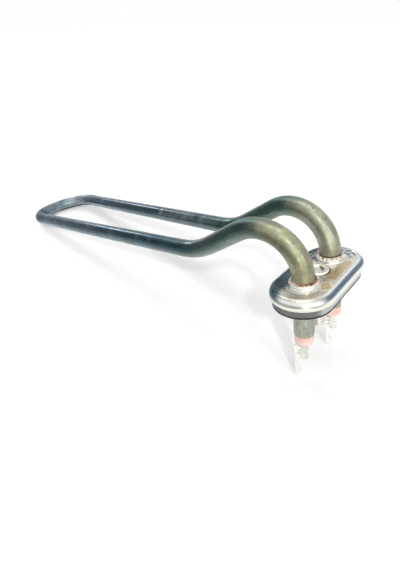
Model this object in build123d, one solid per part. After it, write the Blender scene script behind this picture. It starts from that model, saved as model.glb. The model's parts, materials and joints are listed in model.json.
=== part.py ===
from build123d import *
import math
import os

# Flanged tubular immersion heater: one bent sheathed element whose two legs are brazed
# through a pressed oval flange, with a clamping stud between them and a spade tab on each end.
# Millimetres. +Z is the flange normal, pointing at the heated side. The origin is on the stud's
# axis, in the face of the gasket that seats on the vessel. The loop runs out towards -X, and the
# legs stand side by side along Y.

# ---- Driving dimensions: the sheathed element ----
TUBE_DIAMETER = 8.5
TUBE_WALL = 0.7
LEG_SPACING = 22.5            # between the two legs where they pass the flange
ARCH_START = 10.0             # height at which the straight leg turns into the arch
ARCH_RADIUS = 18.5
DESCENT_ANGLE = 27.7          # slope of the run down from the arch, in degrees
DIP_RADIUS = 38.5
DIP_SPACING = 29.0            # between the legs where they level out
LOOP_HEIGHT = 13.1            # the level loop's centreline above the seat
LOOP_REACH = 235.0            # from the stud's axis to the loop's end, on the centreline
LOOP_SPACING = 45.6           # between the legs at the loop's end
LOOP_END_FLAT = 1.0           # short straight at the very end of the loop
TAIL_LENGTH = 16.0            # sheath standing out below the seat
TAIL_LEAN_FRONT = 1.0         # each tail leans outwards a little, in degrees
TAIL_LEAN_REAR = 4.5
TAIL_PULL_FRONT = -0.5        # and along the flange's short side, towards +X
TAIL_PULL_REAR = 2.4
TAIL_BEND_DEPTH = 2.6         # depth below the seat at which the lean begins
TAIL_BEND_RADIUS = 60.0

# ---- Inside the sheath ----
COIL_DIAMETER = 3.5
COIL_WIRE = 0.5
COIL_START = 6.0              # height above the seat at which the heated length begins
PIN_DIAMETER = 3.5
PIN_NOSE_LENGTH = 3.5         # turned-down end of the pin, inside the coil's first turns
PIN_END_CHAMFER = 0.4
PIN_LENGTH_OUTSIDE = 14.5     # from the sheath's mouth to the pin's outer end
FILL_SETBACK = 4.0            # the powder stops this far inside the sheath's mouth

# ---- End seals ----
SEAL_DIAMETER = 8.1
SEAL_LENGTH = 5.6
SEAL_ROUNDING = 2.0

# ---- Spade tabs ----
TAB_WIDTH = 6.3
TAB_THICKNESS = 0.8
TAB_LENGTH = 19.5
TAB_SETBACK = 6.3             # from the sheath's mouth to the tab's upper edge
TAB_STANDOFF = 0.3            # between the tab and the pin, bridged by the weld ribs
TAB_TIP_WIDTH = 4.3
TAB_TIP_TAPER = 1.4
TAB_HOLE_DIAMETER = 1.7
TAB_HOLE_FROM_TIP = 3.8
WELD_RIB_COUNT = 3
WELD_RIB_PITCH = 2.1
WELD_RIB_HEIGHT = 1.2
WELD_RIB_WIDTH = 2.0

# ---- Flange ----
SHEET_THICKNESS = 0.9
FLANGE_SPACING = 24.2         # between the centres of the oval's two round ends
CAP_HALF_WIDTH = 12.8
CAP_TOP = 8.0                 # height of the cap's crown above the seat
CAP_RIM = 4.0                 # height of the cap's lower edge above the seat
CAP_SHOULDER = 3.2
FACE_MARGIN = 2.5             # width of the raised border round the cap's flat face
FACE_RECESS = 0.35
COLLAR_DIAMETER = 11.2
COLLAR_HEIGHT = 1.7
COLLAR_ROUNDING = 0.6
COLLAR_ROOT = 1.0             # radius of the hollow between the face and the neck
BRAZE_DIAMETER = 9.8
BRAZE_HEIGHT = 0.6
PAN_ROUNDING = 0.4
GASKET_THICKNESS = 0.5
GASKET_HOLE_CLEARANCE = 0.4   # round the legs

# ---- Stud ----
STUD_DIAMETER = 6.0
STUD_LENGTH = 19.3            # below the seat
STUD_CHAMFER = 1.0
STUD_NECK_DIAMETER = 6.6
STUD_SHOULDER_DIAMETER = 9.0
STUD_HEAD_DIAMETER = 8.8
STUD_HEAD_HEIGHT = 0.9
STUD_DISH_DIAMETER = 5.4
STUD_DISH_DEPTH = 0.7

# ---- Derived ----
tube_radius = TUBE_DIAMETER / 2
tube_bore = tube_radius - TUBE_WALL
leg_y = LEG_SPACING / 2
face_height = CAP_TOP - FACE_RECESS
collar_top = face_height + COLLAR_HEIGHT
cap_ceiling = CAP_TOP - FACE_RECESS - SHEET_THICKNESS
pan_half_width = CAP_HALF_WIDTH - SHEET_THICKNESS
pan_floor = GASKET_THICKNESS + SHEET_THICKNESS
pan_top = CAP_TOP - CAP_SHOULDER
pin_radius = PIN_DIAMETER / 2

descent = math.radians(DESCENT_ANGLE)
arch_corner_height = ARCH_START + ARCH_RADIUS * math.tan((math.pi / 2 + descent) / 2)
dip_corner_x = -(arch_corner_height - LOOP_HEIGHT) / math.tan(descent)
flare = math.atan2((LOOP_SPACING - DIP_SPACING) / 2, LOOP_REACH + dip_corner_x)
loop_radius = (LOOP_SPACING - LOOP_END_FLAT) / 2 / math.tan((math.pi / 2 + flare) / 2)
SIDES = {"front": -1, "rear": 1}
LEANS = {-1: (TAIL_PULL_FRONT, TAIL_LEAN_FRONT), 1: (TAIL_PULL_REAR, TAIL_LEAN_REAR)}


def tail_direction(side):
    """Unit vector along a tail, pointing away from the flange."""
    pull, lean = (math.tan(math.radians(angle)) for angle in LEANS[side])
    return Vector(pull, side * lean, -1).normalized()


def tail_point(side, depth):
    """The point on a tail's axis that lies the given length of tail below the seat."""
    lean_start = Vector(0, side * leg_y, -TAIL_BEND_DEPTH)
    return lean_start + tail_direction(side) * (depth - TAIL_BEND_DEPTH)


def leg_foot(side, height):
    """Corner points and radii of a leg from the given height up to the flange."""
    if height > -TAIL_BEND_DEPTH:
        return [Vector(0, side * leg_y, height)], []
    lean_start = Vector(0, side * leg_y, -TAIL_BEND_DEPTH)
    return [tail_point(side, -height), lean_start], [TAIL_BEND_RADIUS]


def element_path(height):
    """Centreline of the whole bent element, cut off at the given height on both legs."""
    half = {}
    for side in SIDES.values():
        foot, foot_radii = leg_foot(side, height)
        corners = foot + [
            Vector(0, side * leg_y, arch_corner_height),
            Vector(dip_corner_x, side * DIP_SPACING / 2, LOOP_HEIGHT),
            Vector(-LOOP_REACH, side * LOOP_SPACING / 2, LOOP_HEIGHT),
        ]
        half[side] = corners, foot_radii + [ARCH_RADIUS, DIP_RADIUS, loop_radius]
    front, front_radii = half[-1]
    rear, rear_radii = half[1]
    return FilletPolyline(*front, *reversed(rear), radius=front_radii + rear_radii[::-1])


def pin_path(side):
    """Centreline of a terminal pin, from its outer end to the heated length."""
    foot, foot_radii = leg_foot(side, -(TAIL_LENGTH + PIN_LENGTH_OUTSIDE))
    return FilletPolyline(*foot, Vector(0, side * leg_y, COIL_START), radius=foot_radii)


def swept(path, radius, hole=0.0):
    """A round bar, or a tube, along a path."""
    start = Plane(origin=path @ 0, z_dir=path % 0)
    section = Circle(radius)
    if hole:
        section -= Circle(hole)
    return sweep(start * section, path=path)


def tail_plane(side):
    """Frame at the sheath's mouth: +Z runs out along the tail, +X nearly as in the whole part."""
    out = tail_direction(side)
    return Plane(origin=tail_point(side, TAIL_LENGTH), x_dir=out.cross(Vector(0, 1, 0)), z_dir=out)


def oval(half_width, bottom, top):
    """A bar with the flange's outline."""
    outline = SlotCenterToCenter(FLANGE_SPACING, 2 * half_width, rotation=90)
    return extrude(Plane.XY.offset(bottom) * outline, amount=top - bottom)


def bar(radius, bottom, top, y=0.0):
    """An upright cylinder between two heights."""
    base = Pos(0, y, bottom)
    return base * Cylinder(radius, top - bottom, align=(Align.CENTER, Align.CENTER, Align.MIN))


def edges_at(part, height):
    """The edges that lie wholly at one height."""
    return part.edges().filter_by_position(Axis.Z, height - 0.01, height + 0.01)


# ---- Pieces ----
def sheath_tube():
    return swept(element_path(-TAIL_LENGTH), tube_radius, tube_bore)


def heating_coil():
    """The close-wound resistance wire, as a sleeve of its outer diameter."""
    return swept(element_path(COIL_START), COIL_DIAMETER / 2, COIL_DIAMETER / 2 - COIL_WIRE)


def magnesia_fill():
    """Compacted powder round the pins and the coil, and the core inside the coil."""
    mantle = swept(element_path(FILL_SETBACK - TAIL_LENGTH), tube_bore, PIN_DIAMETER / 2)
    core = swept(element_path(COIL_START + PIN_NOSE_LENGTH), COIL_DIAMETER / 2 - COIL_WIRE)
    return Compound(children=[*mantle.solids(), *core.solids()])


def terminal_pin(side):
    path = pin_path(side)
    nose_radius = COIL_DIAMETER / 2 - COIL_WIRE
    shaft = swept(path, pin_radius)
    rims = shaft.edges().filter_by(GeomType.CIRCLE).sort_by_distance(path @ 0)
    shaft = chamfer(rims[0], PIN_END_CHAMFER)
    nose = bar(nose_radius, COIL_START, COIL_START + PIN_NOSE_LENGTH, side * leg_y)
    return shaft + nose


def end_seal(side):
    """Silicone plug that closes the sheath's mouth and stands out round the pin."""
    upright = (Align.CENTER, Align.CENTER, Align.MIN)
    bead = Cylinder(SEAL_DIAMETER / 2, SEAL_LENGTH, align=upright)
    bead = fillet(bead.edges().group_by(Axis.Z)[-1], SEAL_ROUNDING)
    plug = Pos(0, 0, -FILL_SETBACK) * Cylinder(tube_bore, FILL_SETBACK, align=upright)
    hole = Cylinder(pin_radius, 2 * (SEAL_LENGTH + FILL_SETBACK))
    return tail_plane(side) * (bead + plug - hole)


def spade_tab(side):
    """Flat blade beside the pin, joined to it by a row of weld ribs."""
    half = TAB_WIDTH / 2
    tip = TAB_SETBACK + TAB_LENGTH
    outline = Polyline(
        (half, TAB_SETBACK),
        (half, tip - TAB_TIP_TAPER),
        (TAB_TIP_WIDTH / 2, tip),
        (-TAB_TIP_WIDTH / 2, tip),
        (-half, tip - TAB_TIP_TAPER),
        (-half, TAB_SETBACK),
        close=True,
    )
    blade_face = make_face(outline) - Pos(0, tip - TAB_HOLE_FROM_TIP) * Circle(TAB_HOLE_DIAMETER / 2)
    near_face = -(pin_radius + TAB_STANDOFF)
    blade = extrude(Plane.YZ.offset(near_face) * blade_face, amount=-TAB_THICKNESS)
    for number in range(WELD_RIB_COUNT):
        middle = PIN_LENGTH_OUTSIDE - (number + 0.5) * WELD_RIB_PITCH
        rib = Box(
            -near_face,
            WELD_RIB_WIDTH,
            WELD_RIB_HEIGHT,
            align=(Align.MIN, Align.CENTER, Align.CENTER),
        )
        blade += Pos(near_face, 0, middle) * rib
    pin = Cylinder(pin_radius, 2 * PIN_LENGTH_OUTSIDE)
    return tail_plane(side) * (blade - pin)


def drawn_neck(side):
    """Solid neck round a leg: it rises from the face in a hollow and ends in a rounded lip."""
    radius = COLLAR_DIAMETER / 2
    foot = radius + COLLAR_ROOT
    lip = collar_top - COLLAR_ROUNDING
    slack = 1 - math.sqrt(0.5)
    outline = [
        Line((0, cap_ceiling), (foot, cap_ceiling)),
        Line((foot, cap_ceiling), (foot, face_height)),
        ThreePointArc(
            (foot, face_height),
            (radius + COLLAR_ROOT * slack, face_height + COLLAR_ROOT * slack),
            (radius, face_height + COLLAR_ROOT),
        ),
        Line((radius, face_height + COLLAR_ROOT), (radius, lip)),
        ThreePointArc(
            (radius, lip),
            (radius - COLLAR_ROUNDING * slack, collar_top - COLLAR_ROUNDING * slack),
            (radius - COLLAR_ROUNDING, collar_top),
        ),
        Line((radius - COLLAR_ROUNDING, collar_top), (0, collar_top)),
        Line((0, collar_top), (0, cap_ceiling)),
    ]
    return Pos(0, side * leg_y, 0) * revolve(Plane.XZ * make_face(outline), Axis.Z)


def flange_cap():
    """Pressed stainless cap: round shoulder, recessed face and a drawn neck round each leg."""
    shell = oval(CAP_HALF_WIDTH, CAP_RIM, CAP_TOP)
    shell = fillet(edges_at(shell, CAP_TOP), CAP_SHOULDER)
    recess = oval(CAP_HALF_WIDTH - FACE_MARGIN, face_height, CAP_TOP)
    recess = chamfer(edges_at(recess, face_height), FACE_RECESS * 0.9)
    inside = oval(pan_half_width, CAP_RIM, cap_ceiling)
    inside = fillet(edges_at(inside, cap_ceiling), cap_ceiling - pan_top)
    shell = shell - recess - inside
    for side in SIDES.values():
        shell += drawn_neck(side)
    for side in SIDES.values():
        shell -= bar(tube_radius, 0, 2 * collar_top, side * leg_y)
    return shell - bar(STUD_NECK_DIAMETER / 2, 0, 2 * collar_top)


def flange_pan():
    """Pressed pan nested in the cap: it closes the flange from below."""
    pan = oval(pan_half_width, GASKET_THICKNESS, pan_top)
    pan = fillet(edges_at(pan, GASKET_THICKNESS), PAN_ROUNDING)
    pan -= oval(pan_half_width - SHEET_THICKNESS, pan_floor, pan_top)
    for side in SIDES.values():
        pan -= bar(tube_radius, 0, collar_top, side * leg_y)
    return pan - bar(STUD_NECK_DIAMETER / 2, 0, collar_top)


def gasket():
    ring = oval(pan_half_width, 0, GASKET_THICKNESS)
    leg_hole = tube_radius + GASKET_HOLE_CLEARANCE
    for side in SIDES.values():
        ring -= bar(leg_hole, -1, collar_top, side * leg_y)
    return ring - bar(STUD_NECK_DIAMETER / 2, -1, collar_top)


def stud():
    """Threaded stud with a shoulder inside the flange and a dished, riveted-over head."""
    thread = bar(STUD_DIAMETER / 2, -STUD_LENGTH, 0)
    thread = chamfer(edges_at(thread, -STUD_LENGTH), STUD_CHAMFER)
    neck = bar(STUD_NECK_DIAMETER / 2, 0, face_height)
    shoulder = bar(STUD_SHOULDER_DIAMETER / 2, pan_floor, cap_ceiling)
    head_top = face_height + STUD_HEAD_HEIGHT
    head = bar(STUD_HEAD_DIAMETER / 2, face_height, head_top)
    head = fillet(edges_at(head, head_top), STUD_HEAD_HEIGHT * 0.7)
    dish_radius = STUD_DISH_DIAMETER / 2
    ball = (dish_radius**2 + STUD_DISH_DEPTH**2) / (2 * STUD_DISH_DEPTH)
    dish = Pos(0, 0, head_top + ball - STUD_DISH_DEPTH) * Sphere(ball)
    return thread + neck + shoulder + head - dish


def braze_ring(side):
    """Fillet of brazing alloy between a collar's top and the sheath."""
    outer = BRAZE_DIAMETER / 2
    top = collar_top + BRAZE_HEIGHT
    rise = Line((tube_radius, collar_top), (tube_radius, top))
    foot = Line((tube_radius, collar_top), (outer, collar_top))
    hollow = ThreePointArc(
        (outer, collar_top),
        ((tube_radius * 2 + outer) / 3, collar_top + BRAZE_HEIGHT / 3),
        (tube_radius, top),
    )
    profile = Plane.XZ * make_face([rise, foot, hollow])
    return Pos(0, side * leg_y, 0) * revolve(profile, Axis.Z)


os.makedirs("parts", exist_ok=True)
pieces = {
    "sheath_tube": sheath_tube(),
    "magnesia_fill": magnesia_fill(),
    "heating_coil": heating_coil(),
    "flange_cap": flange_cap(),
    "flange_pan": flange_pan(),
    "gasket": gasket(),
    "stud": stud(),
}
for name, side in SIDES.items():
    pieces[f"terminal_pin_{name}"] = terminal_pin(side)
    pieces[f"end_seal_{name}"] = end_seal(side)
    pieces[f"spade_tab_{name}"] = spade_tab(side)
    pieces[f"braze_ring_{name}"] = braze_ring(side)
for node, piece in pieces.items():
    export_step(piece, f"parts/{node}.step")
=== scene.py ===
import json
import math

import bpy
import numpy as np
from mathutils import Matrix, Vector


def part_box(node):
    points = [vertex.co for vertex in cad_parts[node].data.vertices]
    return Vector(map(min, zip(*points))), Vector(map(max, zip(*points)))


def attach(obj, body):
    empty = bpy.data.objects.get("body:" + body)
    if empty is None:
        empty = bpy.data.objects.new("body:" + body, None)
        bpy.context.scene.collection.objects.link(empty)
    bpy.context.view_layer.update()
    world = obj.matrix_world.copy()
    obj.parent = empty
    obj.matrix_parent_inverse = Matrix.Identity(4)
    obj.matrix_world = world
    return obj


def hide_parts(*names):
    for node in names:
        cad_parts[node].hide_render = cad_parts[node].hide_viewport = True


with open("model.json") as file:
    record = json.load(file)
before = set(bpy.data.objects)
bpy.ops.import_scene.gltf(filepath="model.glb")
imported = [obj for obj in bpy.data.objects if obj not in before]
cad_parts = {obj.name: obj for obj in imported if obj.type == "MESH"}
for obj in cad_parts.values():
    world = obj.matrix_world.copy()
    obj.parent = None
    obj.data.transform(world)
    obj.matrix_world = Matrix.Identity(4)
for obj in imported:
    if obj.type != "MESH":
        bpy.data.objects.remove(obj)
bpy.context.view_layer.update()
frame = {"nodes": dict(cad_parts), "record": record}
scene = bpy.context.scene
scene.view_settings.view_transform = "Standard"

MM = 0.001

# Sizes shared with the part, in metres. The stud stands at x = y = 0, the loop runs to x = -0.239,
# and the near leg, front in the nodes' names, has the negative y.
LEG_Y = 11.25 * MM
TUBE_R = 4.25 * MM
COLLAR_TOP = 9.35 * MM
FACE_Z = 7.65 * MM
STUD_R = 3.0 * MM
THREAD_PITCH = 1.0 * MM

# The camera that took the photograph, solved from the part's points in it.
CAMERA_RIGHT = Vector((0.716751, 0.673851, -0.179426))
CAMERA_DOWN = Vector((0.240975, -0.480799, -0.843068))
CAMERA_PLACE = Vector((54.83, -109.501, 78.798)) * MM
CAMERA_LENS = 20.9423

# The part lies on its loop and its tabs, so the floor slopes, by this many degrees, and passes
# through this place, the near tab's tip.
FLOOR_TILT = 12.3
FLOOR_PLACE = Vector((-3.19, 0, -41.81)) * MM
FLOOR_REACH = 6.0

# The floor's own glow, as the camera and reflections see it, near the part. It rises to 1, plain
# white, between these two distances from the stud, in metres.
FLOOR_GLOW = 0.26
GLOW_FADE = (0.5, 1.6)

# The plain light from all round, and the lamps, which all stand equally far from one point.
AMBIENT = 0.35
LAMP_TARGET = Vector((-0.08, 0, 0))
LAMP_DISTANCE = 4.0

# Each lamp's direction from the part, width in metres and power in watts.
LAMPS = {
    "key": ((0.58, -0.46, 0.5), 0.3, 34),
    "back": ((-0.58, 0.08, 0.81), 0.8, 13),
    "rim": ((-0.82, 0.15, 0.55), 0.6, 12),
    "top": ((0.03, 0.0, 1.0), 2.4, 34),
    "front": ((0.66, -0.74, 0.1), 1.7, 56),
    "right": ((0.95, -0.2, 0.24), 1.7, 40),
}

# Where a tone of the sheath starts and where it is full, in metres along x.
ARCH_GOLD = (-0.0235, -0.007)
DIP_GREEN = (-0.078, -0.048)
LOOP_BLUE = (-0.12, -0.19)
# The next two bound the painted shade on the loop's top and the painted reflection of the floor under
# it.
LOOP_CREST_SHADE = (-0.095, -0.15)
LOOP_UNDER_REFLECTION = (-0.14, -0.2)
LOOP_TURN = (-0.15, -0.225)
LOOP_WORN = (-0.114, -0.1125)
BEND_PALE = (-0.204, -0.226)
BEND_MATT = (-0.2, -0.215)
ARCH_MATT = (-0.05, -0.02)
ARCH_SPECKS = (-0.06, -0.03)

# The same along y.
NEAR_LEG = (0.002, -0.002)
FAR_LEG = (-0.002, 0.002)
FAR_SIDE = (0.0, 0.002)
BEND_ACROSS = (-0.018, -0.008)

# The same along z.
LEG_FOOT = (0.024, 0.012)
ABOVE_FOOT = (0.012, 0.024)
TAIL = (0.001, -0.0005)
SOOT_TOP = (0.0108, 0.0103)
SOOT_BOTTOM = (0.009, 0.0092)

# The same on the flange's cap, by x, by y, or by the radius round the near leg or the stud. Left
# and right are the photograph's: the left is the side of the loop.
# The next three choose which band of painted highlights and dark reflections the cap's shoulder gets.
CAP_RIGHT_X = (0.0085, 0.0112)
CAP_RIGHT_Y = (-0.0195, -0.0145)
CAP_LEFT = (-0.0015, -0.006)
# The next two bound the painted dark reflection on the left of the face, by x and by y.
FACE_LEFT = (-0.0035, -0.0062)
FACE_DARK_REFLECTION = (0.003, 0.006)
FACE_FAR = (0.0135, 0.0165)
NECK_FIELD = (0.0078, 0.0074)
# The next two bound a painted line of shade at the step round the near neck.
STEP_INNER = (0.0074, 0.0077)
STEP_OUTER = (0.0084, 0.008)
# The next two bound the painted shadow beside the stud's head.
CRESCENT_RIM = (0.0054, 0.0047)
CRESCENT_SIDE = (0.0012, 0.0032)
NECK_RISE = (FACE_Z + 0.0005, FACE_Z + 0.0008)

# The same on the smaller pieces. DISH_RIM is a radius round the stud, and DISH_LIT is of x + y.
# The next is where the painted shade on the pan under the cap's edge starts and is full.
PAN_CAP_SHADE = (0.0035, 0.0039)
SEAL_MOUTH = (-0.0169, -0.0163)
COPPER_SIDE = (-0.002, 0.002)
STUD_CROWN = (0.005, 0.006)
DISH_RIM = (0.0029, 0.0025)
# The next splits the head's dish into a painted lit side and a painted shaded side.
DISH_LIT = (0.0024, 0.0014)

# The two plain fields on the cap: middle, direction of the long side, half length and half width.
INK_MIDDLE, INK_ALONG = (0.0071, 0.0039), (0.0, 1.0)
INK_HALF = (0.0078, 0.0020)
LABEL_MIDDLE, LABEL_ALONG = (0.0079, -0.0093), (0.6, -0.8)
LABEL_HALF = (0.0031, 0.0025)
LABEL_INNER_HALF = (0.0025, 0.0019)
FIELD_EDGE = 0.00015

# The middle stretch of a noise, which holds nearly all of its values.
NOISE_LOW, NOISE_HIGH = 0.3, 0.7


# ---- Camera ----
def place_camera():
    """The photograph's camera, with no shift and no depth of field."""
    data = bpy.data.cameras.new("camera")
    data.lens = CAMERA_LENS
    data.sensor_width = 36
    data.clip_start = 0.005
    data.clip_end = 50
    camera = bpy.data.objects.new("camera", data)
    forward = CAMERA_RIGHT.cross(CAMERA_DOWN)
    turn = Matrix((CAMERA_RIGHT, -CAMERA_DOWN, -forward)).transposed()
    camera.matrix_world = Matrix.Translation(CAMERA_PLACE) @ turn.to_4x4()
    scene.collection.objects.link(camera)
    scene.camera = camera


# ---- Materials ----
class Shader:
    """A Principled material with short helpers for its procedural nodes."""

    def __init__(self, name):
        self.material = bpy.data.materials.new(name)
        self.material.use_nodes = True
        self.nodes = self.material.node_tree.nodes
        self.links = self.material.node_tree.links
        self.bsdf = self.nodes["Principled BSDF"]
        self.place = self.nodes.new("ShaderNodeTexCoord").outputs["Object"]
        self.normal = self.nodes.new("ShaderNodeNewGeometry").outputs["Normal"]
        self.x, self.y, self.z = self.split(self.place)
        self.nx, _, self.nz = self.split(self.normal)

    def set(self, **values):
        for name, value in values.items():
            self.bsdf.inputs[name.replace("_", " ")].default_value = value

    def feed(self, socket, value):
        if isinstance(value, bpy.types.NodeSocket):
            self.links.new(value, socket)
        else:
            socket.default_value = value

    def split(self, vector):
        node = self.nodes.new("ShaderNodeSeparateXYZ")
        self.links.new(vector, node.inputs[0])
        return node.outputs["X"], node.outputs["Y"], node.outputs["Z"]

    def math(self, operation, a, b=0.0, c=0.0):
        node = self.nodes.new("ShaderNodeMath")
        node.operation = operation
        for socket, value in zip(node.inputs, (a, b, c)):
            self.feed(socket, value)
        return node.outputs[0]

    def times(self, first, *others):
        for other in others:
            first = self.math("MULTIPLY", first, other)
        return first

    def sway(self, value, noise, amount):
        """The value, shifted up or down by a noise, by half the amount at most."""
        return self.math("MULTIPLY_ADD", self.math("SUBTRACT", noise, 0.5), amount, value)

    def radius(self, x, y):
        return self.math("SQRT", self.math("ADD", self.times(x, x), self.times(y, y)))

    def ramp_value(self, value, low, high, to_low=0.0, to_high=1.0, smooth=True):
        """to_low where the value is low, to_high where it is high, blended between them."""
        node = self.nodes.new("ShaderNodeMapRange")
        node.interpolation_type = "SMOOTHSTEP" if smooth else "LINEAR"
        self.feed(node.inputs["Value"], value)
        node.inputs["From Min"].default_value = low
        node.inputs["From Max"].default_value = high
        node.inputs["To Min"].default_value = to_low
        node.inputs["To Max"].default_value = to_high
        return node.outputs["Result"]

    def fade(self, value, start, full, most=1.0):
        """0 where the value is start, most where it is full."""
        return self.ramp_value(value, start, full, 0.0, most)

    def spread(self, noise, least=0.0, most=1.0):
        """A noise, spread over the range from least to most."""
        return self.ramp_value(noise, NOISE_LOW, NOISE_HIGH, least, most)

    def scaled(self, stretch=(1, 1, 1), shift=(0, 0, 0)):
        node = self.nodes.new("ShaderNodeMapping")
        self.links.new(self.place, node.inputs["Vector"])
        node.inputs["Scale"].default_value = stretch
        node.inputs["Location"].default_value = shift
        return node.outputs[0]

    def noise(self, scale, detail=4.0, rough=0.5, stretch=(1, 1, 1), shift=(0, 0, 0)):
        node = self.nodes.new("ShaderNodeTexNoise")
        self.links.new(self.scaled(stretch, shift), node.inputs["Vector"])
        node.inputs["Scale"].default_value = scale
        node.inputs["Detail"].default_value = detail
        node.inputs["Roughness"].default_value = rough
        return node.outputs["Fac"]

    def speckle(self, scale, size):
        """1 in the middle of small round spots, 0 outside them."""
        node = self.nodes.new("ShaderNodeTexVoronoi")
        self.links.new(self.place, node.inputs["Vector"])
        node.inputs["Scale"].default_value = scale
        return self.ramp_value(node.outputs["Distance"], size, size * 0.4)

    def mix(self, factor, a, b, blend="MIX"):
        node = self.nodes.new("ShaderNodeMix")
        node.data_type = "RGBA"
        node.blend_type = blend
        self.feed(node.inputs[0], factor)
        self.feed(node.inputs[6], a)
        self.feed(node.inputs[7], b)
        return node.outputs[2]

    def mottled(self, noise, dark, light):
        """Soft patches of two colours."""
        return self.mix(self.spread(noise), dark, light)

    def ramp(self, value, stops, low=-1, high=1):
        """Colours at the given values, blended between them."""
        node = self.nodes.new("ShaderNodeValToRGB")
        self.links.new(self.ramp_value(value, low, high, smooth=False), node.inputs["Fac"])
        band = node.color_ramp
        band.interpolation = "EASE"
        while len(band.elements) < len(stops):
            band.elements.new(0.5)
        for element, (at, colour) in zip(band.elements, sorted(stops)):
            element.position = (at - low) / (high - low)
            element.color = colour
        return node.outputs["Color"]

    def field(self, middle, along, half_length, half_width):
        """1 inside a rectangle on the XY plane, 0 outside, with a slightly soft edge."""
        ax, ay = along
        px = self.math("SUBTRACT", self.x, middle[0])
        py = self.math("SUBTRACT", self.y, middle[1])
        u = self.math("ADD", self.times(px, ax), self.times(py, ay))
        v = self.math("SUBTRACT", self.times(py, ax), self.times(px, ay))
        inside = []
        for offset, half in ((u, half_length), (v, half_width)):
            distance = self.math("ABSOLUTE", offset)
            inside.append(self.ramp_value(distance, half + FIELD_EDGE, half - FIELD_EDGE))
        return self.times(*inside)

    def facing(self, direction):
        """Cosine between the surface's normal and a fixed direction."""
        node = self.nodes.new("ShaderNodeVectorMath")
        node.operation = "DOT_PRODUCT"
        self.links.new(self.normal, node.inputs[0])
        node.inputs[1].default_value = Vector(direction).normalized()
        return node.outputs["Value"]

    def bump(self, height, strength, distance):
        """Relief from a height, on top of any that the material has."""
        node = self.nodes.new("ShaderNodeBump")
        node.inputs["Strength"].default_value = strength
        node.inputs["Distance"].default_value = distance
        self.links.new(height, node.inputs["Height"])
        previous = self.bsdf.inputs["Normal"]
        if previous.is_linked:
            self.links.new(previous.links[0].from_socket, node.inputs["Normal"])
        self.links.new(node.outputs[0], self.bsdf.inputs["Normal"])

    def colour(self, value):
        self.feed(self.bsdf.inputs["Base Color"], value)

    def roughness(self, value):
        self.feed(self.bsdf.inputs["Roughness"], value)


def rgb(r, g, b):
    """A colour given as 0-255 screen values."""

    def linear(v):
        v /= 255
        return v / 12.92 if v <= 0.04045 else ((v + 0.055) / 1.055) ** 2.4

    return linear(r), linear(g), linear(b), 1.0


def sheath_slate(s, slope, along, cloud, fine):
    """The level loop: dark blue-grey with painted shade on top, a painted floor reflection pale under
    it, pale at the bend, worn and smudged.
    """
    # Light painted by the normal: painted shade on top with a lighter painted line at the crest, a
    # painted pale reflection below.
    slate = s.ramp(
        slope,
        [
            (-0.6, rgb(152, 168, 172)),
            (-0.15, rgb(120, 141, 148)),
            (0.15, rgb(78, 106, 120)),
            (0.42, rgb(12, 52, 68)),
            (0.75, rgb(6, 42, 56)),
            (0.93, rgb(58, 88, 102)),
        ],
    )
    slate = s.mix(s.fade(s.x, *LOOP_BLUE, most=0.5), slate, rgb(24, 68, 102))
    # Painted shade that darkens the loop's top away from the flange.
    crest = s.times(s.fade(s.nz, 0.8, 0.94), s.fade(s.x, *LOOP_CREST_SHADE, most=0.85))
    slate = s.mix(crest, slate, rgb(14, 60, 88))
    # A painted pale reflection of the floor under the loop.
    under = s.times(s.fade(s.nz, 0.15, -0.5), s.fade(s.x, *LOOP_UNDER_REFLECTION, most=0.7))
    slate = s.mix(under, slate, rgb(214, 222, 226))
    bend = s.times(s.fade(along, *BEND_PALE), s.fade(s.y, *BEND_ACROSS))
    bend = s.times(bend, s.ramp_value(cloud, 0.3, 0.6, 0.6, 1.0), 0.9)
    slate = s.mix(bend, slate, rgb(158, 175, 181))
    worn = s.times(s.fade(s.x, *LOOP_WORN), s.fade(s.y, *FAR_SIDE))
    worn = s.times(worn, s.ramp_value(cloud, 0.35, 0.6, 0.3, 1.0), 0.5)
    slate = s.mix(worn, slate, rgb(134, 154, 148))
    smudge = s.times(s.fade(cloud, 0.52, 0.64), s.ramp_value(fine, 0.35, 0.6, 0.3, 1.0), 0.16)
    return s.mix(smudge, slate, rgb(146, 164, 168))


def sheath_green(s, slope):
    """The dips: grey-green with light painted in by the normal: painted shade darkest on the upper
    slopes, pale below.
    """
    return s.ramp(
        slope,
        [
            (-0.7, rgb(166, 176, 168)),
            (-0.35, rgb(134, 154, 142)),
            (0.0, rgb(80, 106, 96)),
            (0.3, rgb(36, 64, 58)),
            (0.7, rgb(28, 58, 58)),
            (0.95, rgb(104, 132, 126)),
        ],
    )


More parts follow.
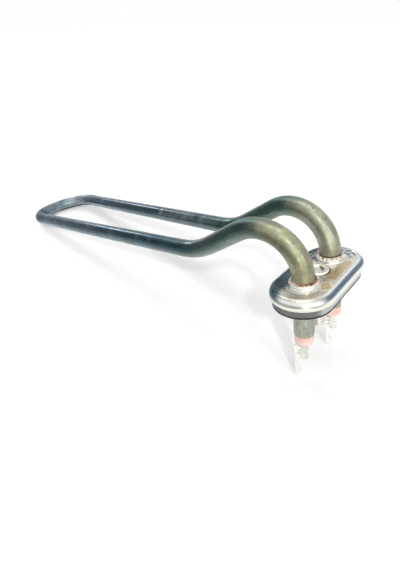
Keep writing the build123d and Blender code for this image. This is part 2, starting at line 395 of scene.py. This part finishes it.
def sheath_gold(s, slope):
    """The arches, with light painted in by the normal: a painted pale highlight above, painted shade
    along the sides, paler at the foot and darker on the near leg.
    """
    # Light painted by the normal: a painted highlight on the upper slopes, darker painted shade at the
    # sides.
    gold = s.ramp(
        slope,
        [
            (-0.7, rgb(146, 156, 140)),
            (-0.35, rgb(118, 128, 106)),
            (-0.1, rgb(140, 142, 120)),
            (0.1, rgb(146, 146, 124)),
            (0.35, rgb(162, 163, 140)),
            (0.6, rgb(190, 191, 168)),
            (0.85, rgb(196, 199, 178)),
            (0.98, rgb(164, 169, 153)),
        ],
    )
    # A painted pale reflection on the sides facing away to the left and down.
    back = s.fade(s.facing((-0.75, -0.6, -0.2)), 0.5, 0.85)
    gold = s.mix(s.times(back, 0.75), gold, rgb(206, 206, 190))
    # Painted shade on the side facing right.
    edge = s.fade(s.facing((0.95, -0.33, 0.1)), 0.93, 0.99)
    gold = s.mix(s.times(edge, 0.22), gold, rgb(100, 102, 82))
    gold = s.mix(s.fade(s.z, *LEG_FOOT, most=0.5), gold, rgb(204, 198, 170))
    gold = s.mix(s.fade(s.y, *FAR_LEG, most=0.22), gold, rgb(190, 194, 172))
    near = s.fade(s.y, *NEAR_LEG)
    # A painted darker band of shade along the near leg's sides.
    side = s.times(s.fade(s.nz, 0.38, 0.12), s.fade(s.nz, -0.6, -0.25))
    painted_side_band = s.times(side, s.fade(s.z, *ABOVE_FOOT, most=0.5), near)
    gold = s.mix(painted_side_band, gold, rgb(84, 94, 70))
    warmer = (1.0, 0.97, 0.86, 1.0)
    return s.mix(near, gold, warmer, "MULTIPLY")


def sheath_marks(s, tone, along, cloud):
    """Dark specks on the arches, and a ring of soot where the far leg leaves its neck."""
    specks = s.times(s.speckle(420, 0.24), s.fade(s.noise(160, 2), 0.48, 0.6))
    specks = s.times(specks, s.fade(along, *ARCH_SPECKS), 0.75)
    tone = s.mix(specks, tone, rgb(44, 40, 28))
    soot = s.times(s.fade(s.z, *SOOT_TOP), s.fade(s.y, *FAR_SIDE), s.fade(s.z, *SOOT_BOTTOM))
    soot = s.times(soot, s.ramp_value(cloud, 0.3, 0.5, 0.4, 0.95))
    return s.mix(soot, tone, rgb(40, 34, 24))


def sheath_material():
    """Heat-tinted tube: gold arches, green dips, a slate loop and bare tails, with light painted in by
    the normal.
    """
    s = Shader("sheath")
    s.set(Metallic=0.8)
    soft = s.noise(60, 5, 0.6)
    fine = s.noise(900, 6, 0.7)
    cloud = s.noise(130, 5, 0.6, shift=(0.3, 0.1, 0))
    streak = s.noise(260, 4, 0.6, stretch=(0.12, 1, 1))
    upright = s.noise(900, 4, 0.6, stretch=(1, 1, 0.06))
    # The normal's height, swayed by noise: the tone ramps below paint shade, highlights and reflections
    # by it.
    slope = s.sway(s.sway(s.nz, soft, 0.35), streak, 0.3)
    slope = s.math("SUBTRACT", slope, s.fade(s.x, *LOOP_TURN, most=0.12))
    along = s.sway(s.x, soft, 0.02)

    loop = sheath_slate(s, slope, along, cloud, fine)
    dips = s.mix(s.fade(along, *DIP_GREEN), loop, sheath_green(s, slope))
    arches = s.mix(s.fade(along, *ARCH_GOLD), dips, sheath_gold(s, slope))
    tail = s.mottled(upright, rgb(186, 189, 177), rgb(200, 202, 191))
    tone = s.mix(s.fade(s.z, *TAIL), arches, tail)
    tone = sheath_marks(s, tone, along, cloud)
    tone = s.mix(0.5, tone, s.mottled(cloud, rgb(94, 94, 94), rgb(162, 162, 162)), "OVERLAY")
    grain = s.fade(s.noise(520, 5, 0.7), 0.35, 0.65)
    tone = s.mix(0.35, tone, s.mix(grain, rgb(88, 88, 88), rgb(168, 168, 168)), "OVERLAY")
    s.colour(s.mix(s.fade(fine, 0.35, 0.75, most=0.04), tone, rgb(120, 160, 164)))

    matt_arches = s.fade(along, *ARCH_MATT, most=0.2)
    matt_bend = s.fade(along, *BEND_MATT, most=0.24)
    matt = s.math("MAXIMUM", matt_arches, matt_bend)
    s.roughness(s.math("ADD", s.spread(s.noise(220, 5, 0.7), 0.17, 0.26), matt))
    s.bump(fine, 0.035, 0.0002)
    s.bump(cloud, 0.05, 0.0006)
    return s.material


def plain_material(name, dark, light, metal=0.9, rough=(0.22, 0.36), relief=0.12):
    """A clouded material of two close colours, for the pieces with no zones of their own."""
    s = Shader(name)
    s.set(Metallic=metal)
    cloud = s.noise(240, 5, 0.6)
    lines = s.noise(700, 5, 0.65)
    s.colour(s.mottled(s.sway(cloud, lines, 0.6), dark, light))
    s.roughness(s.spread(lines, *rough))
    s.bump(lines, relief, 0.0002)
    return s.material


def cap_shoulder(s, slope):
    """The cap's round edge, with painted highlights and dark reflections by the normal: one band of
    tones in front, one on the right and one on the left.
    """
    cream = rgb(226, 224, 212)
    front = s.ramp(
        slope,
        [
            (0.0, cream),
            (0.12, cream),
            (0.26, rgb(138, 141, 136)),
            (0.4, rgb(160, 161, 155)),
            (0.58, rgb(226, 225, 219)),
            (0.74, rgb(224, 223, 216)),
            (0.87, rgb(172, 174, 166)),
            (0.985, rgb(208, 206, 197)),
        ],
        low=-0.2,
    )
    right = s.ramp(
        slope,
        [
            (0.0, cream),
            (0.28, rgb(230, 233, 232)),
            (0.46, rgb(128, 143, 153)),
            (0.62, rgb(82, 98, 110)),
            (0.8, rgb(112, 128, 140)),
            (0.93, rgb(236, 239, 238)),
            (0.99, rgb(206, 204, 194)),
        ],
        low=-0.2,
    )
    left = s.ramp(
        slope,
        [
            (0.0, cream),
            (0.2, rgb(160, 170, 172)),
            (0.4, rgb(70, 90, 102)),
            (0.8, rgb(54, 76, 90)),
            (0.96, rgb(70, 92, 104)),
        ],
        low=-0.2,
    )
    # A painted highlight on the inward-facing rim on the right.
    painted_rim_highlight = s.fade(s.nx, -0.1, -0.3)
    right = s.mix(painted_rim_highlight, right, rgb(240, 242, 240))
    turned = s.times(s.fade(s.x, *CAP_RIGHT_X), s.fade(s.y, *CAP_RIGHT_Y))
    return s.mix(s.fade(s.x, *CAP_LEFT), s.mix(turned, front, right), left)


def cap_face(s, cloud):
    """The cap's level face: clean in front, a painted dark reflection on the left, pitted at the far
    end.
    """
    face = s.mottled(cloud, rgb(204, 201, 190), rgb(224, 221, 211))
    around = s.radius(s.x, s.math("ADD", s.y, LEG_Y))
    face = s.mix(s.fade(around, *NECK_FIELD, most=0.5), face, rgb(232, 230, 222))
    # A painted line of shade at the step round the near neck.
    step = s.times(s.fade(around, *STEP_INNER), s.fade(around, *STEP_OUTER), 0.4)
    face = s.mix(step, face, rgb(140, 142, 136))

    pitted = s.fade(s.noise(520, 3, 0.55, shift=(0.1, 0, 0)), 0.44, 0.54)
    # A painted dark reflection on the left of the face, darker and broken by pits towards the far leg.
    painted_left_reflection = s.mottled(cloud, rgb(66, 87, 99), rgb(98, 114, 122))
    painted_dark_patch = s.mix(pitted, rgb(26, 32, 38), rgb(148, 158, 162))
    painted_left_reflection = s.mix(s.fade(s.y, *FACE_DARK_REFLECTION, most=0.9), painted_left_reflection, painted_dark_patch)
    face = s.mix(s.fade(s.sway(s.x, cloud, 0.004), *FACE_LEFT), face, painted_left_reflection)
    far_grey = s.mix(pitted, rgb(62, 76, 90), rgb(196, 205, 210))
    return s.mix(s.times(s.fade(s.y, *FACE_FAR), 0.92), face, far_grey)


def cap_fields(s, face):
    """The two plain tan fields, and a painted shadow: the dark crescent beside the stud's head."""
    inked = s.field(INK_MIDDLE, INK_ALONG, *INK_HALF)
    inked = s.times(inked, s.ramp_value(s.noise(420, 3, 0.6), 0.25, 0.6, 0.45, 0.85))
    face = s.mix(inked, face, rgb(194, 170, 130))
    label = s.field(LABEL_MIDDLE, LABEL_ALONG, *LABEL_HALF)
    face = s.mix(s.times(label, 0.9), face, rgb(252, 246, 226))
    blotch = s.field(LABEL_MIDDLE, LABEL_ALONG, *LABEL_INNER_HALF)
    blotch = s.times(blotch, s.ramp_value(s.noise(420, 2), 0.25, 0.6, 0.5, 0.85))
    face = s.mix(blotch, face, rgb(220, 192, 154))
    # A painted shadow beside the stud's head.
    rim = s.fade(s.radius(s.x, s.y), *CRESCENT_RIM)
    crescent = s.times(rim, s.fade(s.x, *CRESCENT_SIDE), 0.85)
    return s.mix(crescent, face, rgb(66, 60, 46))


def cap_material():
    """Bright cap: banded shoulder, clouded face and creamy necks."""
    s = Shader("cap_steel")
    s.set(Metallic=0.8)
    cloud = s.noise(200, 5, 0.6)
    fine = s.noise(1500, 6, 0.7)
    shoulder = cap_shoulder(s, s.sway(s.nz, cloud, 0.05))
    face = cap_fields(s, cap_face(s, cloud))
    tone = s.mix(s.fade(s.nz, 0.97, 0.992), shoulder, face)
    neck_tone = s.mottled(cloud, rgb(206, 200, 184), rgb(236, 232, 222))
    s.colour(s.mix(s.fade(s.z, *NECK_RISE), tone, neck_tone))
    s.roughness(s.spread(fine, 0.24, 0.36))
    s.bump(fine, 0.006, 0.0001)
    s.bump(cloud, 0.015, 0.0004)
    return s.material


def pan_material():
    """Grey wall under the cap, with painted shade and reflections by the normal, and painted shade
    under the cap's edge.
    """
    s = Shader("pan_steel")
    s.set(Metallic=0.8)
    cloud = s.noise(240, 5, 0.6)
    fine = s.noise(1500, 6, 0.7)
    # Painted shade and reflections by the normal: dark on the left, a painted highlight on the right.
    wall = s.ramp(
        s.sway(s.nx, cloud, 0.4),
        [
            (-0.6, rgb(70, 80, 86)),
            (0.0, rgb(110, 114, 111)),
            (0.5, rgb(104, 107, 103)),
            (0.78, rgb(110, 113, 110)),
            (0.92, rgb(176, 180, 178)),
        ],
    )
    # Painted shade on the pan just under the cap's edge.
    shade_under_cap = s.fade(s.z, *PAN_CAP_SHADE)
    s.colour(s.mix(s.times(shade_under_cap, 0.8), wall, rgb(44, 50, 54)))
    s.roughness(s.spread(fine, 0.3, 0.42))
    s.bump(fine, 0.05, 0.0001)
    return s.material


def seal_material():
    """Salmon silicone, browner at the sheath's mouth."""
    s = Shader("silicone")
    s.set(Metallic=0.0, IOR=1.41)
    cloud = s.noise(300, 4, 0.6)
    fine = s.noise(2500, 5, 0.7)
    pink = s.mottled(cloud, rgb(224, 184, 168), rgb(236, 208, 196))
    mouth = s.fade(s.z, *SEAL_MOUTH, most=0.7)
    s.colour(s.mix(mouth, pink, rgb(176, 122, 92)))
    s.roughness(s.spread(fine, 0.35, 0.55))
    s.bump(fine, 0.25, 0.0001)
    return s.material


def rubber_material():
    """Black rubber with a fine grain."""
    s = Shader("gasket_rubber")
    s.set(Metallic=0.0)
    fine = s.noise(2500, 5, 0.7)
    s.colour(s.mottled(fine, rgb(26, 28, 30), rgb(46, 48, 50)))
    s.roughness(s.spread(fine, 0.5, 0.7))
    s.bump(fine, 0.2, 0.0001)
    return s.material


def braze_material():
    """Braze and flux: coppery beside the near leg, away from the loop, and cream elsewhere."""
    s = Shader("braze")
    s.set(Metallic=0.5)
    cloud = s.noise(420, 5, 0.65)
    side = s.fade(s.sway(s.x, cloud, 0.012), *COPPER_SIDE)
    side = s.times(side, s.ramp_value(s.y, *NEAR_LEG, 0.15, 1.0))
    copper = s.mix(s.fade(cloud, 0.35, 0.65), rgb(98, 68, 50), rgb(178, 136, 112))
    cream = s.mix(s.fade(cloud, 0.32, 0.6), rgb(168, 148, 124), rgb(236, 226, 210))
    s.colour(s.mix(side, cream, copper))
    s.roughness(s.spread(cloud, 0.4, 0.7))
    s.bump(cloud, 0.5, 0.0006)
    return s.material


def stud_material():
    """Bright thread, and a pale head with painted light and shade in its dish: a painted shaded
    crescent in brown.
    """
    s = Shader("stud_metal")
    s.set(Metallic=0.65)
    cloud = s.noise(420, 5, 0.6)
    fine = s.noise(1500, 5, 0.65)
    thread = s.mottled(cloud, rgb(206, 202, 190), rgb(232, 229, 220))
    dish = s.fade(s.radius(s.x, s.y), *DISH_RIM)
    # The dish's painted lit side, pale, and its painted shaded side, brown.
    lit = s.fade(s.math("ADD", s.y, s.x), *DISH_LIT)
    shade = s.mix(s.fade(cloud, 0.35, 0.65), rgb(72, 58, 40), rgb(136, 120, 92))
    hollow = s.mix(lit, shade, rgb(236, 234, 224))
    crown = s.mix(dish, rgb(240, 239, 232), hollow)
    s.colour(s.mix(s.fade(s.z, *STUD_CROWN), thread, crown))
    s.roughness(s.spread(fine, 0.3, 0.45))
    s.bump(fine, 0.04, 0.0001)
    return s.material


materials = {
    "sheath": sheath_material(),
    "cap_steel": cap_material(),
    "pan_steel": pan_material(),
    "stud_metal": stud_material(),
    "pin_metal": plain_material(
        "pin_metal", rgb(206, 204, 196), rgb(236, 234, 228), metal=0.7, rough=(0.3, 0.45), relief=0.05
    ),
    "tab_metal": plain_material(
        "tab_metal", rgb(234, 232, 228), rgb(248, 247, 244), metal=0.5, rough=(0.4, 0.55), relief=0.01
    ),
    "silicone": seal_material(),
    "gasket_rubber": rubber_material(),
    "braze": braze_material(),
    "flux": plain_material(
        "flux", rgb(214, 204, 186), rgb(244, 240, 232), metal=0.2, rough=(0.35, 0.6), relief=0.2
    ),
    "magnesia": plain_material(
        "magnesia", rgb(226, 224, 216), rgb(240, 238, 232), metal=0.0, rough=(0.8, 0.9)
    ),
    "resistance_wire": plain_material(
        "resistance_wire", rgb(120, 118, 116), rgb(150, 148, 146)
    ),
}


# ---- Pieces ----
def add_mesh(name, points, faces, material):
    """A smooth-shaded mesh object, linked into the scene."""
    mesh = bpy.data.meshes.new(name)
    mesh.from_pydata(points, [], faces)
    mesh.validate()
    mesh.polygons.foreach_set("use_smooth", [True] * len(mesh.polygons))
    mesh.materials.append(material)
    piece = bpy.data.objects.new(name, mesh)
    scene.collection.objects.link(piece)
    return piece


def lathe(rings, segments, cut):
    """Points and faces of a closed solid from (radius, height) rings.

    cut takes a ring's radii, its height and the points' angles, and gives the radii to use.
    """
    angle = np.linspace(0, 2 * np.pi, segments, endpoint=False)
    rows = []
    for radius, height in rings:
        r = cut(np.full(segments, radius), height, angle)
        rows.append(np.column_stack([r * np.cos(angle), r * np.sin(angle), np.full(segments, height)]))
    points = np.vstack([[[0, 0, rings[0][1]]], *rows, [[0, 0, rings[-1][1]]]])
    last = len(points) - 1
    top = 1 + (len(rings) - 1) * segments
    faces = []
    for k in range(segments):
        n = (k + 1) % segments
        faces.append((0, 1 + n, 1 + k))
        faces.append((last, top + k, top + n))
        for a in range(1, top, segments):
            b = a + segments
            faces.append((a + k, a + n, b + n, b + k))
    return points.tolist(), faces


def threaded_stud():
    """The stud with its real thread, the shoulder inside the flange and the dished head."""
    segments = 96
    low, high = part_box("stud")
    bottom, top = low.z, high.z
    thread_depth = 0.6 * MM
    chamfer = 1.0 * MM
    thread_top = -0.05 * MM
    run_out = 1.2 * MM
    crest = 0.12
    flank = 1 - 2 * crest

    def cut(r, height, angle):
        """The radius round a ring: the thread's helix and the end's chamfer taken off."""
        if height > thread_top:
            return r
        phase = (height / THREAD_PITCH - angle / (2 * np.pi)) % 1.0
        groove = np.clip((np.abs(phase - 0.5) * 2 - crest) / flank, 0, 1)
        thread = STUD_R - thread_depth * groove * min(1.0, -height / run_out)
        end = STUD_R - max(0.0, chamfer - (height - bottom))
        return np.minimum(np.minimum(thread, end), r)

    rings_per_turn = 12
    steps = int(round(-bottom / (THREAD_PITCH / rings_per_turn)))
    rings = [(STUD_R, bottom - bottom * k / steps) for k in range(steps)]
    rings.append((STUD_R, -0.01 * MM))

    neck_r = 3.3 * MM
    shoulder_r = 4.5 * MM
    shoulder_low = 1.4 * MM
    shoulder_high = 6.75 * MM
    head_r = 4.4 * MM
    rings += [(neck_r, 0), (neck_r, shoulder_low), (shoulder_r, shoulder_low)]
    rings += [(shoulder_r, shoulder_high), (neck_r, shoulder_high), (neck_r, FACE_Z), (head_r, FACE_Z)]

    rounding = 0.6 * MM
    dish_r = 2.7 * MM
    dish_depth = 0.7 * MM
    arc_steps = 8
    quarter = [math.pi / 2 * k / arc_steps for k in range(arc_steps + 1)]
    for a in quarter:
        rings.append((head_r - rounding * (1 - math.cos(a)), top - rounding * (1 - math.sin(a))))
    for a in quarter[:-1]:
        rings.append((dish_r * math.cos(a), top - dish_depth * math.sin(a)))

    points, faces = lathe(rings, segments, cut)
    piece = add_mesh("stud_threaded", points, faces, materials["stud_metal"])
    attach(piece, "root")
    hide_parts("stud")


def lumpy_ring(name, side, thickness, height, seed):
    """Uneven bead of flux and braze round a leg, where it leaves the neck."""
    radius = TUBE_R - 0.05 * MM
    base = COLLAR_TOP - 0.15 * MM
    turns, around = 96, 12
    waves = range(2, 11)
    wild = np.random.default_rng(seed)
    angle = np.linspace(0, 2 * np.pi, turns, endpoint=False)

    def wave(k, size):
        """A ripple of k waves round the ring, at a random phase and strength."""
        phase = wild.uniform(0, 6.3)
        return size / k**0.5 * np.sin(k * angle + phase) * wild.uniform(0.3, 1)

    swell = np.ones(turns)
    climb = np.zeros(turns)
    for k in waves:
        swell += wave(k, 0.32)
        climb += wave(k, 0.3)
    swell = np.clip(swell, 0.25, 2.0)
    points = []
    faces = []
    for k in range(turns):
        n = (k + 1) % turns
        for j in range(around):
            m = (j + 1) % around
            b = 2 * np.pi * j / around
            rough = 1 + wild.uniform(-0.06, 0.06)
            r = radius + thickness * swell[k] * (0.5 + 0.5 * math.cos(b)) * rough
            z = base + height * (0.5 + 0.5 * math.sin(b)) * (0.75 + 0.4 * climb[k]) * rough
            points.append((r * math.cos(angle[k]), side * LEG_Y + r * math.sin(angle[k]), z))
            faces.append((k * around + j, n * around + j, n * around + m, k * around + m))
    piece = add_mesh(name, points, faces, materials["braze"])
    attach(piece, "root")


def flux_spots():
    """Where drops of flux lie round the necks: (x, y, z, width, height) in millimetres."""
    # Each neck's side, its drops' places round it in degrees, and its seed.
    necks = ((-1, (-62, -38), 5), (1, (-118, -92, -70, -47, -30, 8), 9))
    nearest = 4.75
    z = COLLAR_TOP / MM + 0.1
    spots = []
    for side, turns, seed in necks:
        wild = np.random.default_rng(seed)
        for turn in turns:
            a = math.radians(turn + wild.uniform(-5, 5))
            r = nearest + wild.uniform(0, 0.7)
            width = wild.uniform(0.9, 1.5)
            height = wild.uniform(0.8, 1.6)
            spots.append((r * math.cos(a), side * LEG_Y / MM + r * math.sin(a), z, width, height))
    return spots


def flux_drops(spots, seed):
    """Small set drops of flux, as one mesh of uneven closed beads."""
    wild = np.random.default_rng(seed)
    points, faces = [], []
    rows, around = 7, 12
    for x, y, z, width, height in spots:
        start = len(points)
        for r in range(1, rows):
            a = math.pi * r / rows
            for k in range(around):
                b = 2 * math.pi * k / around
                reach = width / 2 * math.sin(a) * (1 + wild.uniform(-0.12, 0.12))
                place = (x + reach * math.cos(b), y + reach * math.sin(b), z + height / 2 * math.cos(a))
                points.append(tuple(value * MM for value in place))
        top, bottom = len(points), len(points) + 1
        points += [(x * MM, y * MM, (z + side * height / 2) * MM) for side in (1, -1)]
        last = start + (rows - 2) * around
        for k in range(around):
            n = (k + 1) % around
            faces += [(top, start + k, start + n), (bottom, last + n, last + k)]
            for a in range(start, last, around):
                b = a + around
                faces.append((a + k, b + k, b + n, a + n))
    piece = add_mesh("flux_drops", points, faces, materials["flux"])
    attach(piece, "root")


# ---- Stage ----
def any_ray(tree, *kinds):
    """1 for light paths of any of these kinds, 0 for the rest."""
    path = tree.nodes.new("ShaderNodeLightPath")
    value = path.outputs[kinds[0]]
    for kind in kinds[1:]:
        node = tree.nodes.new("ShaderNodeMath")
        node.operation = "MAXIMUM"
        tree.links.new(value, node.inputs[0])
        tree.links.new(path.outputs[kind], node.inputs[1])
        value = node.outputs[0]
    return value


def floor_material():
    """Matt white that keeps the shadow, and is lifted to plain white far from the part."""
    material = bpy.data.materials.new("floor")
    material.use_nodes = True
    tree = material.node_tree
    shader = tree.nodes["Principled BSDF"]
    shader.inputs["Base Color"].default_value = (0.9, 0.9, 0.9, 1)
    shader.inputs["Roughness"].default_value = 0.9
    shader.inputs["Specular IOR Level"].default_value = 0.0
    shader.inputs["Emission Color"].default_value = (1, 1, 1, 1)
    span = tree.nodes.new("ShaderNodeVectorMath")
    span.operation = "LENGTH"
    tree.links.new(tree.nodes.new("ShaderNodeTexCoord").outputs["Object"], span.inputs[0])
    level = tree.nodes.new("ShaderNodeMapRange")
    level.inputs["From Min"].default_value = GLOW_FADE[0]
    level.inputs["From Max"].default_value = GLOW_FADE[1]
    level.inputs["To Min"].default_value = FLOOR_GLOW
    level.inputs["To Max"].default_value = 1.0
    tree.links.new(span.outputs["Value"], level.inputs["Value"])
    glow = tree.nodes.new("ShaderNodeMath")
    glow.operation = "MULTIPLY"
    tree.links.new(any_ray(tree, "Is Camera Ray", "Is Glossy Ray"), glow.inputs[0])
    tree.links.new(level.outputs["Result"], glow.inputs[1])
    tree.links.new(glow.outputs[0], shader.inputs["Emission Strength"])
    return material


def floor_plane():
    """A wide square plane, sloping as the part lies on it."""
    tilt = math.radians(FLOOR_TILT)
    along = Vector((math.cos(tilt), 0, -math.sin(tilt)))
    across = Vector((0, 1, 0))
    corners = []
    for a, b in ((-1, -1), (1, -1), (1, 1), (-1, 1)):
        corners.append(FLOOR_PLACE + along * a * FLOOR_REACH + across * b * FLOOR_REACH)
    data = bpy.data.meshes.new("floor")
    data.from_pydata([tuple(corner) for corner in corners], [], [(0, 1, 2, 3)])
    data.materials.append(floor_material())
    floor = bpy.data.objects.new("floor", data)
    scene.collection.objects.link(floor)


def white_world():
    """White to the camera and in reflections, and a plain level of light on the part."""
    world = bpy.data.worlds.new("world")
    scene.world = world
    world.use_nodes = True
    tree = world.node_tree
    background = tree.nodes["Background"]
    background.inputs["Color"].default_value = (1, 1, 1, 1)
    level = tree.nodes.new("ShaderNodeMapRange")
    seen = any_ray(tree, "Is Camera Ray", "Is Glossy Ray", "Is Transmission Ray")
    tree.links.new(seen, level.inputs["Value"])
    level.inputs["To Min"].default_value = AMBIENT
    level.inputs["To Max"].default_value = 1.0
    tree.links.new(level.outputs["Result"], background.inputs["Strength"])


def soft_light(name, towards, size, power):
    """A round lamp of the given width, as far from the part as all the others."""
    data = bpy.data.lights.new(name, "AREA")
    data.shape = "DISK"
    data.size = size
    data.energy = power
    lamp = bpy.data.objects.new(name, data)
    direction = Vector(towards).normalized()
    lamp.location = LAMP_TARGET + direction * LAMP_DISTANCE
    lamp.rotation_euler = direction.to_track_quat("Z", "Y").to_euler()
    scene.collection.objects.link(lamp)


for part in frame["record"]["subparts"]:
    node = frame["nodes"][part["node"]]
    node.data.materials.clear()
    node.data.materials.append(materials[part["material_slot"]])

threaded_stud()
lumpy_ring("braze_beads_front", -1, 0.75 * MM, 0.8 * MM, seed=3)
lumpy_ring("braze_beads_rear", 1, 0.8 * MM, 0.9 * MM, seed=8)
flux_drops(flux_spots(), seed=4)
floor_plane()
white_world()
for name, settings in LAMPS.items():
    soft_light(name, *settings)
place_camera()
